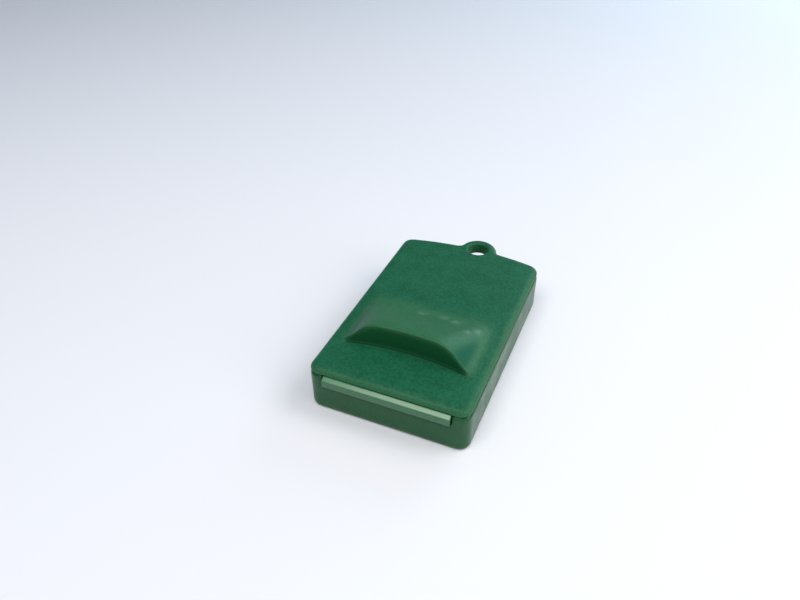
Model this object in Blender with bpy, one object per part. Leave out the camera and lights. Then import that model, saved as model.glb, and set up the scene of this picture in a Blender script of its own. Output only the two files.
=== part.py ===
"""Flat pealess whistle: two moulded shells, a mouthpiece plate between them and a key-ring eye.

Lengths are metres and +Z is up. The player blows at the -Y end and the key ring goes on the +Y end.
The drawing frame has y = 0 on the body's front face. An empty then moves everything so that the
world origin is the middle of the whole object's footprint, on the surface that it lies on.
"""

import math

import bmesh
import bpy
from mathutils import Vector

MM = 0.001

# The body
WIDTH = 30.0 * MM
SIDE_LENGTH = 44.85 * MM
BACK_SAGITTA = 1.9 * MM
HEIGHT = 9.4 * MM
FRONT_CORNER = 2.1 * MM
BACK_CORNER = 2.3 * MM
TOP_EDGE_RADIUS = 1.35 * MM
BOTTOM_EDGE_RADIUS = 0.7 * MM
WALL = 1.7 * MM
FLOOR = 1.2 * MM
DECK = 1.15 * MM
GAP = 0.3 * MM

# The stepped joint between the two shells: a tongue on the base behind a leaf of the cover
PARTING = 8.0 * MM
LEAF = 0.6 * MM
TONGUE = 0.7 * MM
TONGUE_TOP = 8.15 * MM
TONGUE_FRONT = 3.0 * MM

# The mouthpiece plate and the air path over it
PLATE_WIDTH = 23.5 * MM
PLATE_BOTTOM = 6.6 * MM
PLATE_TOP = 7.8 * MM
LIP_REACH = 0.5 * MM
LIP_BOTTOM = 5.85 * MM
LIP_SLOPE_DEPTH = 0.75 * MM
LIP_SLOPE_HEIGHT = 0.5 * MM
LIP_ROUNDING = 0.2 * MM
HOOK_THICKNESS = 1.0 * MM
HOOK_BOTTOM = 4.6 * MM

# The hood over the window
HOOD_WIDTH = 23.5 * MM
HOOD_TOP_WIDTH = 14.5 * MM
HOOD_HEIGHT = 4.5 * MM
HOOD_FRONT = 8.4 * MM
ROOF_START = 10.4 * MM
HOOD_BACK = 21.6 * MM
HOOD_WALL = 0.6 * MM
HOOD_ROUNDING = 1.8 * MM
SHOULDER_ROUNDING = 2.6 * MM
HOOD_SINK = 0.6 * MM
MOUTH_SAGITTA = 1.5 * MM
WINDOW = 1.1 * MM
WINDOW_HALF = 10.3 * MM
LABIUM_ANGLE = math.radians(62)
LABIUM_WALL = 1.2 * MM
CORE_WIDTH = 14.0 * MM
CORE_WALL = 1.0 * MM

# The sound chambers
RIB = 1.0 * MM
DIVIDER_X = 4.2 * MM
CHAMBER_FRONT = 7.6 * MM
DIVIDER_END = 45.0 * MM
LEFT_CHAMBER_END = 36.5 * MM
RIGHT_CHAMBER_END = 41.0 * MM
LOW_RIB_TOP = 7.2 * MM
HIGH_RIB_START = 16.8 * MM
SUPPORT_X = 6.0 * MM

# The key-ring eye, which sits a little right of the centre line
EYE_X = 1.2 * MM
EYE_Y = 46.3 * MM
EYE_RADIUS = 4.0 * MM
EYE_THICKNESS = 2.6 * MM
EYE_FILLET = 1.0 * MM
EYE_ROOT_HALF = 5.1 * MM
HOLE_RADIUS = 2.1 * MM
HOLE_Y = 46.1 * MM
BOSS_RADIUS = 3.7 * MM
EYE_CLEAR = 5.8 * MM

# How finely round stretches are cut
CORNER_STEPS = 6
EDGE_STEPS = 3
CIRCLE_STEPS = 48
ARC_STEPS = 256

# Lengths that follow from those above
HALF = WIDTH / 2
BACK = SIDE_LENGTH + BACK_SAGITTA
END = EYE_Y + EYE_RADIUS
TOP = HEIGHT + HOOD_HEIGHT
BASE_TOP = PARTING - GAP
UNDER_DECK = HEIGHT - DECK
INNER = LEAF + GAP + TONGUE + GAP
CHANNEL_HALF = PLATE_WIDTH / 2 + GAP
HOOK_START = WALL + GAP
ROOF_SLOPE = HOOD_HEIGHT / (HOOD_BACK - ROOF_START)
MOUTH_RADIUS = (HOOD_WIDTH ** 2 / 4 + MOUTH_SAGITTA ** 2) / (2 * MOUTH_SAGITTA)
MOUTH_BACK = HOOD_FRONT + MOUTH_SAGITTA
MOUTH_CENTRE = MOUTH_BACK - MOUTH_RADIUS
BOW_RADIUS = (HALF ** 2 + BACK_SAGITTA ** 2) / (2 * BACK_SAGITTA)
BOW_CENTRE = Vector((0, BACK - BOW_RADIUS))
EYE_CENTRE = Vector((EYE_X, EYE_Y))
EYE_LOW = HEIGHT - EYE_THICKNESS
BEYOND = 5.0 * MM
MERGE = 0.001 * MM

# Which way a flat outline faces once it is extruded: its turn, and the axis that it runs along
PLAN = ((0, 0, 0), Vector((0, 0, 1)))
SIDE = ((math.pi / 2, 0, math.pi / 2), Vector((1, 0, 0)))
FRONT = ((math.pi / 2, 0, 0), Vector((0, 1, 0)))


def new_collection(name):
    collection = bpy.data.collections.new(name)
    bpy.context.scene.collection.children.link(collection)
    return collection


def plastic(name, colour, roughness):
    material = bpy.data.materials.new(name)
    material.use_nodes = True
    shader = material.node_tree.nodes["Principled BSDF"]
    shader.inputs["Base Color"].default_value = (*colour, 1.0)
    shader.inputs["Roughness"].default_value = roughness
    shader.inputs["Metallic"].default_value = 0.0
    return material


def arc(centre, radius, start, stop, steps):
    """Points along an arc between two angles in degrees."""
    turns = [math.radians(start + (stop - start) * i / steps) for i in range(steps + 1)]
    return [(centre[0] + radius * math.cos(t), centre[1] + radius * math.sin(t)) for t in turns]


def rounded(corners):
    """The outline of (x, y, radius) corners, each one replaced by a tangent arc."""
    points = []
    for i, (x, y, radius) in enumerate(corners):
        if radius == 0:
            points.append((x, y))
            continue
        here = Vector((x, y))
        before = (Vector(corners[i - 1][:2]) - here).normalized()
        after = (Vector(corners[(i + 1) % len(corners)][:2]) - here).normalized()
        half = before.angle(after) / 2
        centre = here + (before + after).normalized() * radius / math.sin(half)
        first = here + before * radius / math.tan(half) - centre
        last = here + after * radius / math.tan(half) - centre
        start = math.degrees(math.atan2(first.y, first.x))
        turn = math.degrees(math.atan2(last.y, last.x)) - start
        turn = (turn + 180) % 360 - 180
        points += arc(centre, radius, start, start + turn, CORNER_STEPS)
    return points


def flare_centre(side):
    """The centre of the fillet that touches the back bow and the eye, on the side +1 or -1."""
    across = EYE_CENTRE - BOW_CENTRE
    from_bow = BOW_RADIUS + EYE_FILLET
    from_eye = EYE_RADIUS + EYE_FILLET
    along = (from_bow ** 2 - from_eye ** 2 + across.length_squared) / (2 * across.length)
    off = math.sqrt(from_bow ** 2 - along ** 2)
    way = across.normalized()
    return BOW_CENTRE + way * along + Vector((way.y, -way.x)) * off * side


def bearing(start, end):
    """The direction from start to end in degrees."""
    return math.degrees(math.atan2(end.y - start.y, end.x - start.x))


def back_with_eye(first, last):
    """The back edge from the right to the left, between two bearings, round the key-ring eye."""
    right, left = flare_centre(1), flare_centre(-1)
    steps = CORNER_STEPS
    points = arc(BOW_CENTRE, BOW_RADIUS, first, bearing(BOW_CENTRE, right), steps)[:-1]
    points += arc(right, EYE_FILLET, bearing(right, BOW_CENTRE) + 360, bearing(right, EYE_CENTRE) + 360, steps)
    points += arc(EYE_CENTRE, EYE_RADIUS, bearing(EYE_CENTRE, right), bearing(EYE_CENTRE, left),
                  CIRCLE_STEPS // 2)[1:-1]
    points += arc(left, EYE_FILLET, bearing(left, EYE_CENTRE), bearing(left, BOW_CENTRE), steps)
    return points + arc(BOW_CENTRE, BOW_RADIUS, bearing(BOW_CENTRE, left), last, steps)[1:]


def body_outline(inset=0.0, with_eye=False):
    """The body in plan: straight front and sides, a bowed back and rounded corners."""
    half = HALF - inset
    front_corner = max(FRONT_CORNER - inset, GAP)
    back_corner = max(BACK_CORNER - inset, GAP)
    bow_radius = BOW_RADIUS - inset
    rise = math.degrees(math.asin((half - 2 * back_corner) / bow_radius))
    if with_eye:
        bow = back_with_eye(90 - rise, 90 + rise)
    else:
        bow = arc(BOW_CENTRE, bow_radius, 90 - rise, 90 + rise, CORNER_STEPS * 2)
    side = SIDE_LENGTH - inset
    corners = [(-half, inset, front_corner), (half, inset, front_corner), (half, side, back_corner)]
    corners += [(x, y, 0) for x, y in bow]
    corners.append((-half, side, back_corner))
    return rounded(corners)


def eye_root(name, low, clear=0.0):
    """The block round the root of the eye where the cover reaches below the parting line."""
    half = EYE_ROOT_HALF + clear
    front = EYE_Y - EYE_RADIUS - clear
    return block(name, (EYE_X - half, front, low - clear), (EYE_X + half, END + BEYOND, TOP))


def hood_section(wall=0.0):
    """The hood seen from the front, drawn in by wall on its roof and its sloping sides."""
    lean = (HOOD_WIDTH - HOOD_TOP_WIDTH) / 2 / HOOD_HEIGHT
    draw_in = wall * math.hypot(1, lean)
    foot = HOOD_WIDTH / 2 - draw_in + HOOD_SINK * lean
    top = TOP - wall
    shoulder = HOOD_WIDTH / 2 - draw_in - (top - HEIGHT) * lean
    radius = SHOULDER_ROUNDING - wall
    low = HEIGHT - HOOD_SINK
    return rounded([(-foot, low, 0), (foot, low, 0), (shoulder, top, radius), (-shoulder, top, radius)])


def roof_height(y, wall=0.0):
    """The height of the hood's sloping roof at y, or of its underside if wall is given."""
    return TOP - (y - ROOF_START) * ROOF_SLOPE - wall * math.hypot(1, ROOF_SLOPE)


def hood_side():
    """The hood seen from the side: a short flat top and then a slope down to the deck."""
    low = HEIGHT - HOOD_SINK
    back = HOOD_BACK + HOOD_SINK / ROOF_SLOPE
    front = HOOD_FRONT - MOUTH_SAGITTA
    return rounded([(front, low, 0), (back, low, 0), (ROOF_START, TOP, HOOD_ROUNDING), (front, TOP, 0)])


def under_roof():
    """Everything below the roof's underside, seen from the side."""
    front = HOOD_FRONT - BEYOND
    low = PARTING - BEYOND
    level = TOP - HOOD_WALL
    bend = ROOF_START - (math.hypot(1, ROOF_SLOPE) - 1) * HOOD_WALL / ROOF_SLOPE
    return [(front, low), (HOOD_BACK, low), (HOOD_BACK, roof_height(HOOD_BACK, HOOD_WALL)),
            (bend, level), (front, level)]


def core_side():
    """The hollow behind the labium, seen from the side."""
    rise = math.tan(LABIUM_ANGLE)
    foot = MOUTH_BACK + WINDOW + LABIUM_WALL / math.sin(LABIUM_ANGLE)
    top = roof_height(0, CORE_WALL)
    peak = (top - PARTING + foot * rise) / (rise + ROOF_SLOPE)
    back = HOOD_BACK - 2 * CORE_WALL
    low = PARTING - BEYOND
    return [(foot, low), (back, low), (back, roof_height(back, CORE_WALL)),
            (peak, roof_height(peak, CORE_WALL)), (foot, PARTING)]


def plate_side():
    """The mouthpiece plate seen from the side: the lip, the hook behind the front wall, the floor."""
    front = -LIP_REACH
    back = MOUTH_BACK + GAP
    hook_back = HOOK_START + HOOK_THICKNESS
    return rounded([(front, LIP_BOTTOM, LIP_ROUNDING), (HOOK_START, LIP_BOTTOM, 0),
                    (HOOK_START, HOOK_BOTTOM, 0), (hook_back, HOOK_BOTTOM, 0), (hook_back, PLATE_BOTTOM, 0),
                    (back, PLATE_BOTTOM, 0), (back, PLATE_TOP, 0),
                    (front + LIP_SLOPE_DEPTH, PLATE_TOP, LIP_ROUNDING),
                    (front, PLATE_TOP - LIP_SLOPE_HEIGHT, LIP_ROUNDING)])


def as_mesh(curve, collection):
    """Replaces a curve by a closed mesh object with its loose caps welded on."""
    bpy.context.view_layer.update()
    evaluated = curve.evaluated_get(bpy.context.evaluated_depsgraph_get())
    mesh = bpy.data.meshes.new_from_object(evaluated)
    shape = bmesh.new()
    shape.from_mesh(mesh)
    bmesh.ops.remove_doubles(shape, verts=shape.verts, dist=MERGE)
    bmesh.ops.dissolve_limit(shape, angle_limit=math.radians(0.5), verts=shape.verts, edges=shape.edges)
    bmesh.ops.recalc_face_normals(shape, faces=shape.faces)
    shape.to_mesh(mesh)
    shape.free()
    name, place = curve.name, curve.matrix_world.copy()
    bpy.data.objects.remove(curve)
    thing = bpy.data.objects.new(name, mesh)
    thing.matrix_world = place
    collection.objects.link(thing)
    return thing


def slab(name, points, low, high, way=PLAN, edge=0.0):
    """A flat outline extruded from low to high, with its edges rounded to the radius edge."""
    data = bpy.data.curves.new(name, "CURVE")
    data.dimensions = "2D"
    data.fill_mode = "BOTH"
    data.extrude = (high - low) / 2 - edge
    data.bevel_depth = edge
    data.bevel_resolution = EDGE_STEPS
    data.offset = -edge
    spline = data.splines.new("POLY")
    spline.points.add(len(points) - 1)
    for point, (x, y) in zip(spline.points, points):
        point.co = (x, y, 0, 1)
    spline.use_cyclic_u = True
    curve = bpy.data.objects.new(name, data)
    cutters.objects.link(curve)
    turn, axis = way
    curve.rotation_euler = turn
    curve.location = axis * (low + high) / 2
    return as_mesh(curve, cutters)


def block(name, low, high):
    """A box between its lowest and its highest corner."""
    shape = bmesh.new()
    bmesh.ops.create_cube(shape, size=1)
    low, high = Vector(low), Vector(high)
    bmesh.ops.scale(shape, vec=high - low, verts=shape.verts)
    bmesh.ops.translate(shape, vec=(low + high) / 2, verts=shape.verts)
    return finish_shape(name, shape)


def cone(name, centre, radius, top_radius, low, high, steps):
    """An upright cylinder or cone at a centre in plan."""
    shape = bmesh.new()
    bmesh.ops.create_cone(shape, cap_ends=True, segments=steps, radius1=radius, radius2=top_radius,
                          depth=high - low)
    bmesh.ops.translate(shape, vec=(*centre, (low + high) / 2), verts=shape.verts)
    return finish_shape(name, shape)


def finish_shape(name, shape):
    mesh = bpy.data.meshes.new(name)
    shape.to_mesh(mesh)
    shape.free()
    thing = bpy.data.objects.new(name, mesh)
    cutters.objects.link(thing)
    return thing


def combine(target, operation, *others):
    """Adds a Boolean for each other shape and turns that shape into a hidden helper."""
    for other in others:
        modifier = target.modifiers.new(f"{operation.lower()} {other.name}", "BOOLEAN")
        modifier.object = other
        modifier.operation = operation
        modifier.solver = "EXACT"
        other.hide_render = True
        other.display_type = "WIRE"
    return target


def mouth_cylinder(name):
    """The upright cylinder whose back is the curve of the hood's mouth."""
    low = PARTING - BEYOND
    high = TOP + BEYOND
    return cone(name, (0, MOUTH_CENTRE), MOUTH_RADIUS, MOUTH_RADIUS, low, high, ARC_STEPS)


def labium_cone():
    """Everything in front of the labium's slanted, hollow-curved face."""
    low = PARTING - BEYOND
    high = TOP + BEYOND
    spread = 1 / math.tan(LABIUM_ANGLE)
    edge = MOUTH_RADIUS + WINDOW
    radius = edge - (PARTING - low) * spread
    top_radius = edge + (high - PARTING) * spread
    return cone("labium_face", (0, MOUTH_CENTRE), radius, top_radius, low, high, ARC_STEPS)


def make_hood():
    """The solid hood: its side view and its front view, each extruded, and what they share."""
    hood = slab("hood", hood_side(), -HALF, HALF, SIDE)
    section = slab("hood_front_view", hood_section(), 0, HOOD_BACK + BEYOND, FRONT)
    combine(hood, "INTERSECT", section)
    return combine(hood, "DIFFERENCE", mouth_cylinder("hood_mouth_curve"))


def make_mouth():
    """The opening under the hood and the window below it, both ending at the labium."""
    mouth = slab("mouth", hood_section(HOOD_WALL), HOOD_FRONT - BEYOND, HOOD_BACK, FRONT)
    above = block("above_deck", (-HALF, -BEYOND, HEIGHT), (HALF, BACK, TOP + BEYOND))
    combine(mouth, "INTERSECT", above)
    window = block("window", (-WINDOW_HALF, 0, PARTING - GAP), (WINDOW_HALF, HOOD_BACK, HEIGHT + GAP))
    combine(window, "DIFFERENCE", mouth_cylinder("window_front_curve"))
    combine(mouth, "UNION", window)
    combine(mouth, "INTERSECT", slab("roof_underside", under_roof(), -HALF, HALF, SIDE))
    return combine(mouth, "INTERSECT", labium_cone())


def joint_ring(name, outer, inner, low, high, clear):
    """A ring that follows the wall, open at the front and beside the key-ring eye."""
    ring = slab(name, body_outline(outer), low, high)
    combine(ring, "DIFFERENCE", slab(name + "_inside", body_outline(inner), low - GAP, high + GAP))
    front = TONGUE_FRONT - clear
    half = EYE_CLEAR - clear
    eye_low = (EYE_X - half, BACK - BEYOND, low - GAP)
    eye_high = (EYE_X + half, BACK + GAP, high + GAP)
    combine(ring, "DIFFERENCE", block(name + "_front", (-HALF, -GAP, low - GAP), (HALF, front, high + GAP)))
    return combine(ring, "DIFFERENCE", block(name + "_eye", eye_low, eye_high))


def eye_cylinder(name, radius, low, high):
    return cone(name, (EYE_X, HOLE_Y), radius, radius, low, high, CIRCLE_STEPS)


def recess(name, inset, front, low, high, boss=BOSS_RADIUS):
    """A hollow inside the walls, behind front, that leaves the boss of the eye standing."""
    hollow = slab(name, body_outline(inset), low, high)
    ahead = block(name + "_ahead", (-HALF, -GAP, low - GAP), (HALF, front, high + GAP))
    return combine(hollow, "DIFFERENCE", ahead, eye_cylinder(name + "_boss", boss, low - GAP, high + GAP))


def make_top_cover():
    """The upper shell: deck, skirt, hood with its labium, and the key-ring eye."""
    low = PARTING - 2 * TOP_EDGE_RADIUS
    cover = slab("top_cover", body_outline(0, True), low, HEIGHT, PLAN, TOP_EDGE_RADIUS)
    below = block("below_parting", (-WIDTH, -BEYOND, low - GAP), (WIDTH, END + BEYOND, PARTING))
    combine(cover, "DIFFERENCE", combine(below, "DIFFERENCE", eye_root("cover_eye_root", EYE_LOW)))
    combine(cover, "UNION", make_hood())
    channel = block("windway", (-CHANNEL_HALF, -BEYOND, low), (CHANNEL_HALF, HOOD_FRONT + GAP, UNDER_DECK))
    combine(cover, "DIFFERENCE", channel, make_mouth())
    combine(cover, "DIFFERENCE", recess("deck_underside", INNER, HIGH_RIB_START - GAP, low, UNDER_DECK))
    combine(cover, "DIFFERENCE", slab("hood_core", core_side(), -CORE_WIDTH / 2, CORE_WIDTH / 2, SIDE))
    combine(cover, "DIFFERENCE", joint_ring("tongue_groove", LEAF, INNER, low, TONGUE_TOP + GAP, GAP))
    return combine(cover, "DIFFERENCE", eye_cylinder("cover_hole", HOLE_RADIUS, 0, TOP))


def rib_boxes(name, top):
    """The walls between the sound chambers and across two of their ends."""
    low = FLOOR - GAP
    half = RIB / 2
    reach = HALF - WALL / 2
    left_ends = (-DIVIDER_X - half, CHAMBER_FRONT, low), (half - DIVIDER_X, DIVIDER_END, top)
    right_ends = (DIVIDER_X - half, CHAMBER_FRONT, low), (DIVIDER_X + half, DIVIDER_END, top)
    left_stop = (-reach, LEFT_CHAMBER_END, low), (-DIVIDER_X, LEFT_CHAMBER_END + RIB, top)
    right_stop = (DIVIDER_X, RIGHT_CHAMBER_END, low), (reach, RIGHT_CHAMBER_END + RIB, top)
    return combine(block(name, *left_ends), "UNION", block(name + "_right", *right_ends),
                   block(name + "_left_stop", *left_stop), block(name + "_right_stop", *right_stop))


def make_base_shell():
    """The lower shell: a tray with three chambers, a notch for the plate and the tongue."""
    high = BASE_TOP + 2 * BOTTOM_EDGE_RADIUS
    base = slab("base_shell", body_outline(), 0, high, PLAN, BOTTOM_EDGE_RADIUS)
    above = block("above_base", (-WIDTH, -BEYOND, BASE_TOP), (WIDTH, END, high + GAP))
    combine(base, "DIFFERENCE", above, recess("tray", WALL, 0, FLOOR, high))
    combine(base, "UNION", joint_ring("tongue", LEAF + GAP, LEAF + GAP + TONGUE, BASE_TOP - GAP, TONGUE_TOP, 0))
    combine(base, "UNION", rib_boxes("low_ribs", LOW_RIB_TOP))
    high_ribs = rib_boxes("high_ribs", UNDER_DECK - GAP)
    limit = recess("high_rib_limit", INNER + GAP, HIGH_RIB_START, 0, HEIGHT, BOSS_RADIUS + GAP)
    combine(base, "UNION", combine(high_ribs, "INTERSECT", limit))
    seat = PLATE_BOTTOM - GAP
    reach = HALF - WALL / 2
    combine(base, "UNION", block("chamber_front", (-reach, CHAMBER_FRONT - RIB / 2, FLOOR - GAP),
                                 (reach, CHAMBER_FRONT + RIB / 2, LOW_RIB_TOP - GAP)))
    start = HOOK_START + HOOK_THICKNESS + GAP
    for name, x in (("left_support", -SUPPORT_X), ("right_support", SUPPORT_X)):
        low_corner = (x - RIB / 2, start, FLOOR - GAP)
        combine(base, "UNION", block(name, low_corner, (x + RIB / 2, CHAMBER_FRONT, PLATE_BOTTOM)))
    notch = block("lip_notch", (-CHANNEL_HALF, -BEYOND, LIP_BOTTOM - GAP), (CHANNEL_HALF, WALL + GAP, high))
    room = block("plate_room", (-CHANNEL_HALF, 0, seat), (CHANNEL_HALF, MOUTH_BACK + GAP, high))
    combine(base, "DIFFERENCE", combine(notch, "UNION", room))
    combine(base, "DIFFERENCE", eye_root("base_eye_root", EYE_LOW, GAP))
    return combine(base, "DIFFERENCE", eye_cylinder("base_hole", HOLE_RADIUS, -BEYOND, TOP))


def make_plate():
    """The floor of the air path, whose front edge is the lip under the blowing slot."""
    plate = slab("mouthpiece_plate", plate_side(), -PLATE_WIDTH / 2, PLATE_WIDTH / 2, SIDE)
    return combine(plate, "INTERSECT", mouth_cylinder("plate_back_curve"))


def place(thing, material):
    """Moves a finished part to its collection and gives it its material."""
    cutters.objects.unlink(thing)
    parts.objects.link(thing)
    thing.data.materials.append(material)


def main():
    green = plastic("textured green plastic", (0.020, 0.135, 0.062), 0.55)
    smooth_green = plastic("smooth green plastic", (0.020, 0.135, 0.062), 0.45)
    gloss_green = plastic("polished green plastic", (0.030, 0.160, 0.075), 0.2)
    place(make_top_cover(), green)
    place(make_base_shell(), smooth_green)
    place(make_plate(), gloss_green)
    footprint = bpy.data.objects.new("footprint_middle", None)
    footprint.location.y = -(END - LIP_REACH) / 2
    parts.objects.link(footprint)
    for thing in list(parts.objects) + list(cutters.objects):
        if thing is footprint:
            continue
        thing.parent = footprint
        thing.data.shade_smooth()
        thing.data.set_sharp_from_angle(angle=math.radians(30))


for leftover in list(bpy.data.objects):
    bpy.data.objects.remove(leftover)
parts = new_collection("flat_whistle")
cutters = new_collection("cutters")
main()
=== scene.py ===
"""The finished look of a flat, moulded, pealess pocket whistle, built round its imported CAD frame.

Each shell is rebuilt from its CAD solid as a fine mesh. The solid becomes a distance field on a grid, the
field is worked on (the hood is blended in, the seam is opened, edges are rounded), and its surface is taken
out again. Lengths are in metres, in the frame of the CAD model: +Y runs from the lip to the key-ring eye.
"""

import math

import bpy
import numpy as np
import openvdb
from mathutils import Matrix, Vector

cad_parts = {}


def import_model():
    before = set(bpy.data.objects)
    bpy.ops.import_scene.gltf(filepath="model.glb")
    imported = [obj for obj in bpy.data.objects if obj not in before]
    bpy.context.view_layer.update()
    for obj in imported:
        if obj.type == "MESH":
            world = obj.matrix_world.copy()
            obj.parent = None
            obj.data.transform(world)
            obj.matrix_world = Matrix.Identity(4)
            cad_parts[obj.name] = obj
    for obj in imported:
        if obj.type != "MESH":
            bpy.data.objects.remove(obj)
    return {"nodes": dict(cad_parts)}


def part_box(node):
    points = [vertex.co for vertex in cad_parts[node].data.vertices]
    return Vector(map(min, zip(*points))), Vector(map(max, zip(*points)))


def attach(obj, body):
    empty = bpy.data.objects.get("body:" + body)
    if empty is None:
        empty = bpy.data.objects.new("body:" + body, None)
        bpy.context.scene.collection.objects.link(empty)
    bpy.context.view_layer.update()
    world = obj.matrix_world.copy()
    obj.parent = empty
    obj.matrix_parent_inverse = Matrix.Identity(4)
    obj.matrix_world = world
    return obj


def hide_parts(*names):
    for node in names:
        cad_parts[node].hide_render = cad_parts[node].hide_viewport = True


MM = 0.001

# The grids that the distance fields live on, and how many cells they reach past the surface
SHELL_VOXEL = 0.11 * MM
LIP_VOXEL = 0.06 * MM
BAND = 9

# How far the edges of each piece are softened
EDGE_SOFTNESS = 0.2 * MM
LIP_SOFTNESS = 0.06 * MM

# The deck and the hood on it, as in the CAD model
DECK_TOP = 9.4 * MM
HOOD_HALF = 11.75 * MM
HOOD_FRONT = 8.4 * MM
ROOF_START = 10.4 * MM
HOOD_BACK = 21.6 * MM
MOUTH_SAGITTA = 1.5 * MM
HOOD_LEAN = 1.0
HOOD_WALL = 0.6 * MM

# How broadly the hood's faces run into each other and into the deck
RIDGE_REACH = 2.0 * MM
CREST_REACH = 0.8 * MM
FOOT_REACH = 1.4 * MM
RIM_REACH = 0.6 * MM
FOOT_SPREAD = 1.0 * MM
CREST_LIFT = 0.15 * MM

# The seam between the shells, which steps down round the root of the key-ring eye
SEAM_HEIGHT = 7.85 * MM
SEAM_DEPTH = 0.3 * MM
SEAM_SLOPE = 0.75
SEAM_ROUNDING = 0.3 * MM
EYE_SEAM_HEIGHT = 6.65 * MM
EYE_X = 1.2 * MM
EYE_ROOT_HALF = 5.25 * MM
EYE_ROOT_START = 17.1 * MM
WALL_FOOT = 0.7 * MM

# The pieces touch, so most of the clearance that the CAD model leaves between them is closed
TAKE_UP = 0.14 * MM
LIP_TAKE_UP = np.array((0.10, 0.0, 0.04)) * MM
TAKE_UP_START = 5.0 * MM
TAKE_UP_END = 8.6 * MM
TAKE_UP_FADE = 0.3 * MM

# The moulded grain
GRAIN_DEPTH = 0.08 * MM

# Rubbed patches near the hood's rear edge, in millimetres: x, distance from the body's front, and reach
RUBBED_PATCHES = (
    (-1.2, 20.2, 1.7),
    (2.9, 20.5, 1.5),
    (5.6, 19.8, 1.7),
    (8.6, 17.2, 1.3),
    (10.1, 19.0, 1.5))

# Colours of the plastic, and colours that paint sheen, highlight and shade onto it. A pair holds the darker
# and the lighter colour of a mottled face.
DECK_GREENS = ((0.0022, 0.079, 0.034), (0.0070, 0.112, 0.053))
# The paler greens paint a sheen on the cover's rounded edges, and they also colour the hood's top, which is
# paler than its slopes.
EDGE_SHEEN_AND_HOOD_GREENS = ((0.016, 0.110, 0.046), (0.023, 0.128, 0.055))
SLOPE_GREEN = (0.003, 0.089, 0.044)
# Painted shade inside the hood's mouth, on its faces that look forward.
MOUTH_PAINTED_SHADE = (0.005, 0.074, 0.023)
# Painted shade along the deck's edge at the foot of the mouth, under the hood.
RIM_PAINTED_SHADE = (0.001, 0.040, 0.012)
RUBBED_GREEN = (0.12, 0.23, 0.16)
RUBBED_STRENGTH = 0.6
BASE_GREENS = ((0.005, 0.073, 0.021), (0.008, 0.087, 0.027))
LIP_GREENS = ((0.022, 0.120, 0.048), (0.030, 0.138, 0.057))
# A painted highlight on the lip's upward faces.
LIP_TOP_PAINTED_HIGHLIGHT = (0.085, 0.245, 0.120)

# The camera: where it stands, and its angles in degrees
CAMERA_PLACE = Vector((35.13, -97.81, 91.55)) * MM
CAMERA_AZIMUTH = 23.734
CAMERA_ELEVATION = 38.01
CAMERA_ROLL = -0.644
CAMERA_LENS = 30.92


# ---------------------------------------------------------------- distance fields


def points_and_triangles(thing):
    """The mesh of an object as two arrays."""
    mesh = thing.data
    mesh.calc_loop_triangles()
    points = np.empty(len(mesh.vertices) * 3, np.float32)
    mesh.vertices.foreach_get("co", points)
    triangles = np.empty(len(mesh.loop_triangles) * 3, np.int32)
    mesh.loop_triangles.foreach_get("vertices", triangles)
    return points.reshape(-1, 3), triangles.reshape(-1, 3).astype(np.uint32)


class Field:
    """The distance to a closed surface at each point of a grid, negative inside."""

    def __init__(self, thing, voxel, growth=0.0):
        points, triangles = points_and_triangles(thing)
        low, high = points.min(axis=0), points.max(axis=0)
        points += (2 * points - low - high) / (high - low) * growth
        self.voxel = voxel
        self.grid_to_world = openvdb.createLinearTransform(voxelSize=voxel)
        grid = openvdb.FloatGrid.createLevelSetFromPolygons(
            points, triangles=triangles, transform=self.grid_to_world, halfWidth=BAND)
        low, high = grid.evalActiveVoxelBoundingBox()
        self.low = [int(i) - 2 for i in low]
        self.values = np.empty([int(b) + 3 - a for a, b in zip(self.low, high)], np.float32)
        grid.copyToArray(self.values, ijk=tuple(self.low))

    def axes(self):
        """The x, y and z of the grid's planes, shaped so that they broadcast over the grid."""
        found = []
        for i, (low, count) in enumerate(zip(self.low, self.values.shape)):
            shape = [1, 1, 1]
            shape[i] = count
            places = (low + np.arange(count)) * self.voxel
            found.append(places.astype(np.float32).reshape(shape))
        return found

    def soften(self, reach):
        """Averages the field over about reach, which rounds edges and leaves flat faces in place."""
        steps = max(1, round(reach / self.voxel))
        for _ in range(2):
            for axis in range(3):
                self.values = running_mean(self.values, steps, axis)

    def sample(self, places):
        """The field at places in space, read between the points of the grid."""
        cells = places / self.voxel - self.low
        lowest = np.clip(np.floor(cells).astype(int), 0, np.array(self.values.shape) - 2)
        part = cells - lowest
        total = np.zeros(len(places))
        for corner in np.ndindex(2, 2, 2):
            weight = np.prod(np.where(corner, part, 1 - part), axis=1)
            total += weight * self.values[tuple((lowest + corner).T)]
        return total

    def normals(self, places):
        """The direction in which the field grows fastest at each place."""
        steps = np.eye(3) * self.voxel
        slope = [self.sample(places + step) - self.sample(places - step) for step in steps]
        slope = np.stack(slope, axis=1)
        return slope / np.maximum(np.linalg.norm(slope, axis=1, keepdims=True), 1e-12)

    def to_object(self, name, adaptivity):
        """The zero surface as a new object, shaded with the field's own normals."""
        grid = openvdb.FloatGrid(BAND * self.voxel)
        grid.copyFromArray(self.values, ijk=tuple(self.low))
        grid.transform = self.grid_to_world
        points, triangles, quads = grid.convertToPolygons(isovalue=0.0, adaptivity=adaptivity)
        mesh = bpy.data.meshes.new(name)
        mesh.from_pydata(points.tolist(), [], triangles.tolist() + quads.tolist())
        mesh.update()
        mesh.shade_smooth()
        mesh.normals_split_custom_set_from_vertices(self.normals(points).tolist())
        thing = bpy.data.objects.new(name, mesh)
        bpy.context.scene.collection.objects.link(thing)
        return thing


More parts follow.
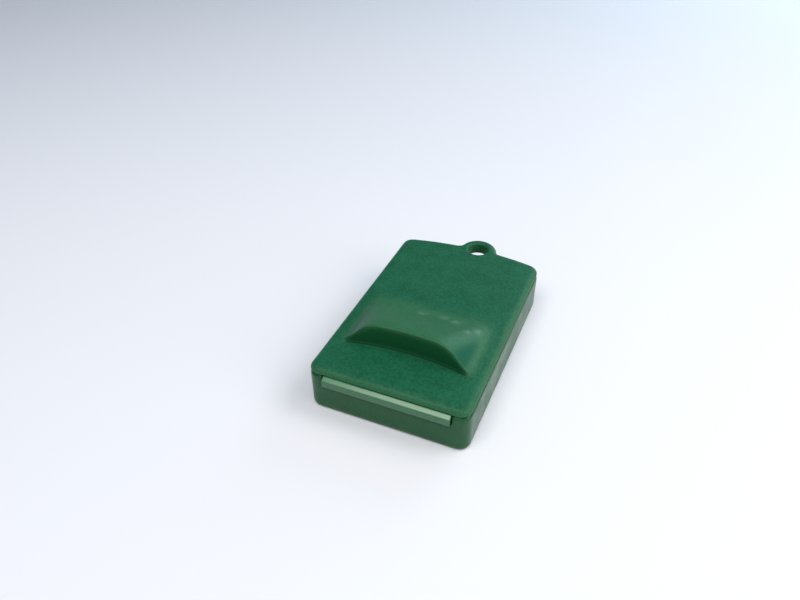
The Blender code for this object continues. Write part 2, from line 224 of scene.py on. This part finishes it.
def running_mean(values, steps, axis):
    """The mean over steps cells each way along one axis."""
    count = 2 * steps + 1
    wide = [(0, 0)] * 3
    wide[axis] = (steps + 1, steps)
    padded = np.pad(values, wide, mode="edge")
    total = np.moveaxis(np.cumsum(padded, axis=axis, dtype=np.float64), axis, 0)
    return np.moveaxis((total[count:] - total[:-count]) / count, 0, axis).astype(np.float32)


def smooth_min(a, b, reach):
    """The union of two fields, with the corner between them filled over about reach."""
    share = np.clip(0.5 + 0.5 * (b - a) / reach, 0, 1)
    return b * (1 - share) + a * share - reach * share * (1 - share)


def smooth_max(a, b, reach):
    """What two fields share, with the edge between them rounded over about reach."""
    return -smooth_min(-a, -b, reach)


# ---------------------------------------------------------------- the shapes


def outline_distance(x, y):
    """How far a point in plan lies outside the body's walls, which are convex in plan."""
    points, _ = points_and_triangles(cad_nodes["base_shell"])
    foot = points[abs(points[:, 2] - WALL_FOOT) < 0.02 * MM][:, :2]
    foot = np.unique(np.round(foot, 6), axis=0)
    middle = (foot.min(axis=0) + foot.max(axis=0)) / 2
    foot = foot[np.argsort(np.arctan2(*(foot - middle).T[::-1]))]
    distance = np.full(np.broadcast_shapes(x.shape, y.shape), -1.0, np.float32)
    for start, end in zip(foot, np.roll(foot, -1, axis=0)):
        along = end - start
        length = math.hypot(*along)
        if length < 0.05 * MM:
            continue
        away = np.array((along[1], -along[0])) / length
        if (start - middle) @ away < HOOD_HALF:
            continue
        distance = np.maximum(distance, (x - start[0]) * away[0] + (y - start[1]) * away[1])
    return distance


def take_up_clearance(field):
    """Grows a shell's joint faces towards the other pieces, but not its outer walls."""
    x, y, z = field.axes()
    below_end = np.clip((TAKE_UP_END - z) / TAKE_UP_FADE, 0, 1)
    share = below_end * np.clip((z - TAKE_UP_START) / TAKE_UP_FADE, 0, 1)
    grown = np.maximum(field.values - TAKE_UP * share, outline_distance(x, y))
    field.values = np.minimum(field.values, grown)


def open_seam(field):
    """Cuts the shallow rounded groove where the two shells meet, all round the body but for the lip."""
    x, y, z = field.axes()
    at_eye = (abs(x - EYE_X) < EYE_ROOT_HALF) & (y > EYE_ROOT_START)
    height = np.where(at_eye, EYE_SEAM_HEIGHT, SEAM_HEIGHT)
    at_lip = (abs(x) < HOOD_HALF) & (y < 0)
    depth = np.where(at_lip, -SEAM_DEPTH, SEAM_DEPTH - abs(outline_distance(x, y)))
    groove = (abs(z - height) - depth * SEAM_SLOPE) / math.hypot(1, SEAM_SLOPE)
    field.values = smooth_max(field.values, -groove, SEAM_ROUNDING)


def roof_fall():
    """How fast the hood's roof falls towards the back."""
    return (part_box("top_cover")[1].z - DECK_TOP) / (HOOD_BACK - ROOF_START)


def mouth_arc():
    """The mouth's arc in plan: its radius, and how far its middle lies behind the body's front."""
    radius = (HOOD_HALF ** 2 + MOUTH_SAGITTA ** 2) / (2 * MOUTH_SAGITTA)
    return radius, HOOD_FRONT + MOUTH_SAGITTA - radius


def shape_hood(field):
    """Gives the hood one even wall whose faces run smoothly into each other and into the deck."""
    x, y, z = field.axes()
    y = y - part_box("base_shell")[0].y
    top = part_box("top_cover")[1].z
    fall = roof_fall()
    roof = (z - top + (y - ROOF_START) * fall) / math.hypot(1, fall)
    roof = smooth_max(roof - CREST_LIFT, z - top, CREST_REACH)
    side = (abs(x) - HOOD_HALF + (z - DECK_TOP) * HOOD_LEAN) / math.hypot(1, HOOD_LEAN)
    hood = smooth_max(roof, side, RIDGE_REACH) - CREST_LIFT
    outside = np.maximum(smooth_min(hood, z - DECK_TOP, FOOT_REACH), z - top)
    radius, middle = mouth_arc()
    behind_mouth = radius - np.hypot(x, y - middle)
    outside = np.minimum(z - DECK_TOP, smooth_max(outside, behind_mouth, RIM_REACH))
    wall = np.maximum(outside, -outside - HOOD_WALL)
    wall = np.maximum(wall, np.maximum(behind_mouth, hood - FOOT_SPREAD))
    wall = np.maximum(wall, DECK_TOP - HOOD_WALL - z)
    field.values = np.minimum(np.maximum(field.values, outside), wall)


def make_top_cover():
    field = Field(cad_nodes["top_cover"], SHELL_VOXEL)
    shape_hood(field)
    take_up_clearance(field)
    open_seam(field)
    field.soften(EDGE_SOFTNESS)
    return field.to_object("moulded_cover", 0.004)


def make_base_shell():
    field = Field(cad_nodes["base_shell"], SHELL_VOXEL)
    take_up_clearance(field)
    open_seam(field)
    field.soften(EDGE_SOFTNESS)
    return field.to_object("moulded_base", 0.03)


def make_plate():
    field = Field(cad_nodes["mouthpiece_plate"], LIP_VOXEL, LIP_TAKE_UP)
    field.soften(LIP_SOFTNESS)
    return field.to_object("moulded_lip", 0.004)


# ---------------------------------------------------------------- materials


class Nodes:
    """A short way to add and join a material's nodes."""

    def __init__(self, name):
        self.material = bpy.data.materials.new(name)
        self.material.use_nodes = True
        self.tree = self.material.node_tree
        self.shader = self.tree.nodes["Principled BSDF"]

    def add(self, kind, inputs=(), **settings):
        node = self.tree.nodes.new("ShaderNode" + kind)
        for key, value in settings.items():
            setattr(node, key, value)
        for key, value in dict(inputs).items():
            if isinstance(value, bpy.types.NodeSocket):
                self.tree.links.new(value, node.inputs[key])
            else:
                node.inputs[key].default_value = value
        return node

    def noise(self, place, scale, detail=2.0, roughness=0.5):
        inputs = {"Vector": place, "Scale": scale, "Detail": detail, "Roughness": roughness}
        return self.add("TexNoise", inputs).outputs["Fac"]

    def ramp(self, value, low, high, start=0.0, end=1.0):
        """value's stretch from low to high, mapped smoothly to start to end."""
        inputs = {"Value": value, "From Min": low, "From Max": high, "To Min": start, "To Max": end}
        return self.add("MapRange", inputs, interpolation_type="SMOOTHSTEP").outputs["Result"]

    def maths(self, operation, a, b):
        return self.add("Math", {0: a, 1: b}, operation=operation).outputs["Value"]

    def blend(self, share, a, b):
        """Colour a where share is 0, and b where it is 1."""
        node = self.add("Mix", {"Factor": share, "A": (0, 0, 0, 1), "B": (0, 0, 0, 1)}, data_type="RGBA")
        for socket, value in ((node.inputs[6], a), (node.inputs[7], b)):
            if isinstance(value, bpy.types.NodeSocket):
                self.tree.links.new(value, socket)
            else:
                socket.default_value = (*value, 1.0)
        return node.outputs[2]


def uneven_colour(nodes, place, dark, light):
    """Mottling in two sizes: clouds of a few millimetres and specks of a few tenths."""
    cloud = nodes.noise(place, 300.0, 3.0)
    speck = nodes.noise(place, 2100.0, 1.0)
    uneven = nodes.maths("ADD", nodes.maths("MULTIPLY", cloud, 0.35), nodes.maths("MULTIPLY", speck, 0.65))
    return nodes.blend(nodes.ramp(uneven, 0.36, 0.64), dark, light)


def erode(nodes, place, height, strength):
    """Fine pits whose depth follows height, a value from 0 to 1."""
    pits = nodes.noise(place, 3200.0, 2.0, 0.6)
    depth = nodes.maths("MULTIPLY", pits, height)
    bump = nodes.add("Bump", {"Height": depth, "Strength": strength, "Distance": GRAIN_DEPTH})
    nodes.tree.links.new(bump.outputs["Normal"], nodes.shader.inputs["Normal"])


def rubbed(nodes, place):
    """1 where the rear edge of the hood has rubbed white, in a few ragged patches, and 0 elsewhere."""
    ragged = nodes.ramp(nodes.noise(place, 900.0, 3.0, 0.7), 0.36, 0.6, 0.15, 1.0)
    worn = 0.0
    for x, y, reach in RUBBED_PATCHES:
        z = DECK_TOP + (HOOD_BACK - y * MM) * roof_fall()
        spot = Vector((x * MM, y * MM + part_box("base_shell")[0].y, z))
        away = nodes.add("VectorMath", {0: place, 1: spot}, operation="DISTANCE").outputs["Value"]
        worn = nodes.maths("MAXIMUM", worn, nodes.ramp(away, 0.0, reach * MM, 1.0, 0.0))
    return nodes.maths("MULTIPLY", worn, ragged)


def mouth_foot_shade(nodes, place, parts):
    """1 along the deck's edge at the foot of the mouth, where the hood's shade is painted, and 0 elsewhere.
    """
    radius, middle = mouth_arc()
    centre = Vector((0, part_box("base_shell")[0].y + middle, DECK_TOP))
    away = nodes.add("VectorMath", {0: place, 1: centre}, operation="DISTANCE").outputs["Value"]
    near = nodes.maths("MULTIPLY", nodes.ramp(away, radius - 0.5 * MM, radius - 0.15 * MM),
                       nodes.ramp(away, radius + 0.1 * MM, radius + 0.4 * MM, 1.0, 0.0))
    low = nodes.ramp(parts.outputs["Z"], DECK_TOP + 0.1 * MM, DECK_TOP + 0.4 * MM, 1.0, 0.0)
    sideways = nodes.maths("ABSOLUTE", parts.outputs["X"], 0.0)
    inside = nodes.ramp(sideways, HOOD_HALF - 0.6 * MM, HOOD_HALF, 1.0, 0.0)
    return nodes.maths("MULTIPLY", near, nodes.maths("MULTIPLY", low, inside))


def cover_material():
    """Eroded grain on the deck, less rough edges with a painted sheen, and a paler hood with painted shade in
    its mouth and along the deck's edge at the mouth's foot, and a rubbed rear edge.
    """
    nodes = Nodes("cover_green")
    place = nodes.add("TexCoord").outputs["Object"]
    parts = nodes.add("SeparateXYZ", {"Vector": place})
    on_hood = nodes.ramp(parts.outputs["Z"], DECK_TOP + 0.02 * MM, DECK_TOP + 0.5 * MM)
    facing = nodes.add("SeparateXYZ", {"Vector": nodes.add("NewGeometry").outputs["Normal"]})
    upward = facing.outputs["Z"]
    # Where the faces look forward, in the hood's mouth, dark green is painted as shade.
    mouth_shade = nodes.ramp(facing.outputs["Y"], -0.8, -0.35, 1.0, 0.0)
    grained = nodes.maths("MULTIPLY", nodes.ramp(upward, 0.6, 0.95, 0.6, 1.0),
                          nodes.ramp(on_hood, 0.0, 1.0, 1.0, 0.7))
    edge_sheen_and_hood = uneven_colour(nodes, place, *EDGE_SHEEN_AND_HOOD_GREENS)
    deck = uneven_colour(nodes, place, *DECK_GREENS)
    # The rounded edges take the paler greens, a painted sheen.
    deck = nodes.blend(nodes.ramp(upward, 0.75, 0.97, 1.0, 0.0), deck, edge_sheen_and_hood)
    # The hood's top takes the same paler greens; its slopes are darker.
    hood = nodes.blend(nodes.ramp(upward, 0.72, 0.92), SLOPE_GREEN, edge_sheen_and_hood)
    hood = nodes.blend(mouth_shade, hood, MOUTH_PAINTED_SHADE)
    colour = nodes.blend(on_hood, deck, hood)
    colour = nodes.blend(nodes.maths("MULTIPLY", rubbed(nodes, place), RUBBED_STRENGTH), colour, RUBBED_GREEN)
    # Dark green painted as shade along the deck's edge at the mouth's foot; the same mask also raises the
    # roughness there.
    rim_shade = mouth_foot_shade(nodes, place, parts)
    colour = nodes.blend(rim_shade, colour, RIM_PAINTED_SHADE)
    nodes.tree.links.new(colour, nodes.shader.inputs["Base Color"])
    roughness = nodes.maths("MAXIMUM", nodes.ramp(grained, 0.3, 1.0, 0.37, 0.55), rim_shade)
    nodes.tree.links.new(roughness, nodes.shader.inputs["Roughness"])
    nodes.shader.inputs["Specular IOR Level"].default_value = 0.25
    erode(nodes, place, grained, 1.0)
    return nodes.material


def base_material():
    """Smooth moulded walls with a satin gloss."""
    nodes = Nodes("base_green")
    place = nodes.add("TexCoord").outputs["Object"]
    colour = uneven_colour(nodes, place, *BASE_GREENS)
    nodes.tree.links.new(colour, nodes.shader.inputs["Base Color"])
    smudges = nodes.ramp(nodes.noise(place, 220.0, 2.0), 0.35, 0.65, 0.26, 0.36)
    nodes.tree.links.new(smudges, nodes.shader.inputs["Roughness"])
    nodes.shader.inputs["Specular IOR Level"].default_value = 0.30
    erode(nodes, place, 0.25, 0.25)
    return nodes.material


def lip_material():
    """The lip, polished by use, with fine scratches along it and a painted highlight on its upward faces."""
    nodes = Nodes("lip_green")
    place = nodes.add("TexCoord").outputs["Object"]
    front = uneven_colour(nodes, place, *LIP_GREENS)
    upward = nodes.add("SeparateXYZ", {"Vector": nodes.add("NewGeometry").outputs["Normal"]}).outputs["Z"]
    # The lip's upward faces take a lighter green, a painted highlight.
    colour = nodes.blend(nodes.ramp(upward, 0.3, 0.8), front, LIP_TOP_PAINTED_HIGHLIGHT)
    nodes.tree.links.new(colour, nodes.shader.inputs["Base Color"])
    stretched = nodes.add("Mapping", {"Vector": place, "Scale": (0.12, 1.0, 1.0)}).outputs["Vector"]
    scratches = nodes.ramp(nodes.noise(stretched, 2400.0, 3.0, 0.7), 0.3, 0.7, 0.14, 0.26)
    nodes.tree.links.new(scratches, nodes.shader.inputs["Roughness"])
    nodes.shader.inputs["Specular IOR Level"].default_value = 0.6
    erode(nodes, stretched, 0.15, 0.15)
    return nodes.material


# ---------------------------------------------------------------- the stage


def make_floor():
    bpy.ops.mesh.primitive_plane_add(size=3)
    floor = bpy.context.object
    floor.name = "floor"
    nodes = Nodes("pale_floor")
    nodes.shader.inputs["Base Color"].default_value = (0.80, 0.81, 0.87, 1)
    nodes.shader.inputs["Roughness"].default_value = 0.8
    floor.data.materials.append(nodes.material)


def area_light(name, place, size, power, colour):
    data = bpy.data.lights.new(name, "AREA")
    data.energy = power
    data.size = size
    data.color = colour
    light = bpy.data.objects.new(name, data)
    light.location = place
    light.rotation_euler = (Vector((0, 0, DECK_TOP)) - light.location).to_track_quat("-Z", "Y").to_euler()
    bpy.context.scene.collection.objects.link(light)


def light_stage():
    scene = bpy.context.scene
    scene.view_settings.view_transform = "Standard"
    scene.world = bpy.data.worlds.new("studio")
    scene.world.use_nodes = True
    background = scene.world.node_tree.nodes["Background"]
    background.inputs["Color"].default_value = (0.70, 0.84, 1.0, 1)
    background.inputs["Strength"].default_value = 0.33
    area_light("key_softbox", (0.25, 0.12, 0.34), 0.22, 0.7, (1.0, 0.95, 0.90))
    area_light("right_softbox", (0.36, -0.06, 0.17), 0.26, 0.5, (1.0, 0.94, 0.86))
    area_light("back_softbox", (0.12, 0.42, 0.18), 0.24, 0.6, (0.64, 0.85, 1.0))
    area_light("top_softbox", (-0.02, -0.18, 0.38), 0.26, 1.05, (1.0, 0.96, 0.89))


def make_camera():
    data = bpy.data.cameras.new("camera")
    data.lens = CAMERA_LENS
    data.clip_start = 5 * MM
    camera = bpy.data.objects.new("camera", data)
    turn = Matrix.Rotation(math.radians(CAMERA_AZIMUTH), 4, "Z")
    tilt = Matrix.Rotation(math.radians(90 - CAMERA_ELEVATION), 4, "X")
    roll = Matrix.Rotation(math.radians(CAMERA_ROLL), 4, "Z")
    camera.matrix_world = Matrix.Translation(CAMERA_PLACE) @ turn @ tilt @ roll
    bpy.context.scene.collection.objects.link(camera)
    bpy.context.scene.camera = camera


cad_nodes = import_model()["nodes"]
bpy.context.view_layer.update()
for piece, node, material, slot in (
        (make_top_cover(), "top_cover", cover_material(), "textured_green"),
        (make_base_shell(), "base_shell", base_material(), "smooth_green"),
        (make_plate(), "mouthpiece_plate", lip_material(), "lip_green")):
    piece.data.materials.append(material)
    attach(piece, "root")
    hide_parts(node)
make_floor()
light_stage()
make_camera()
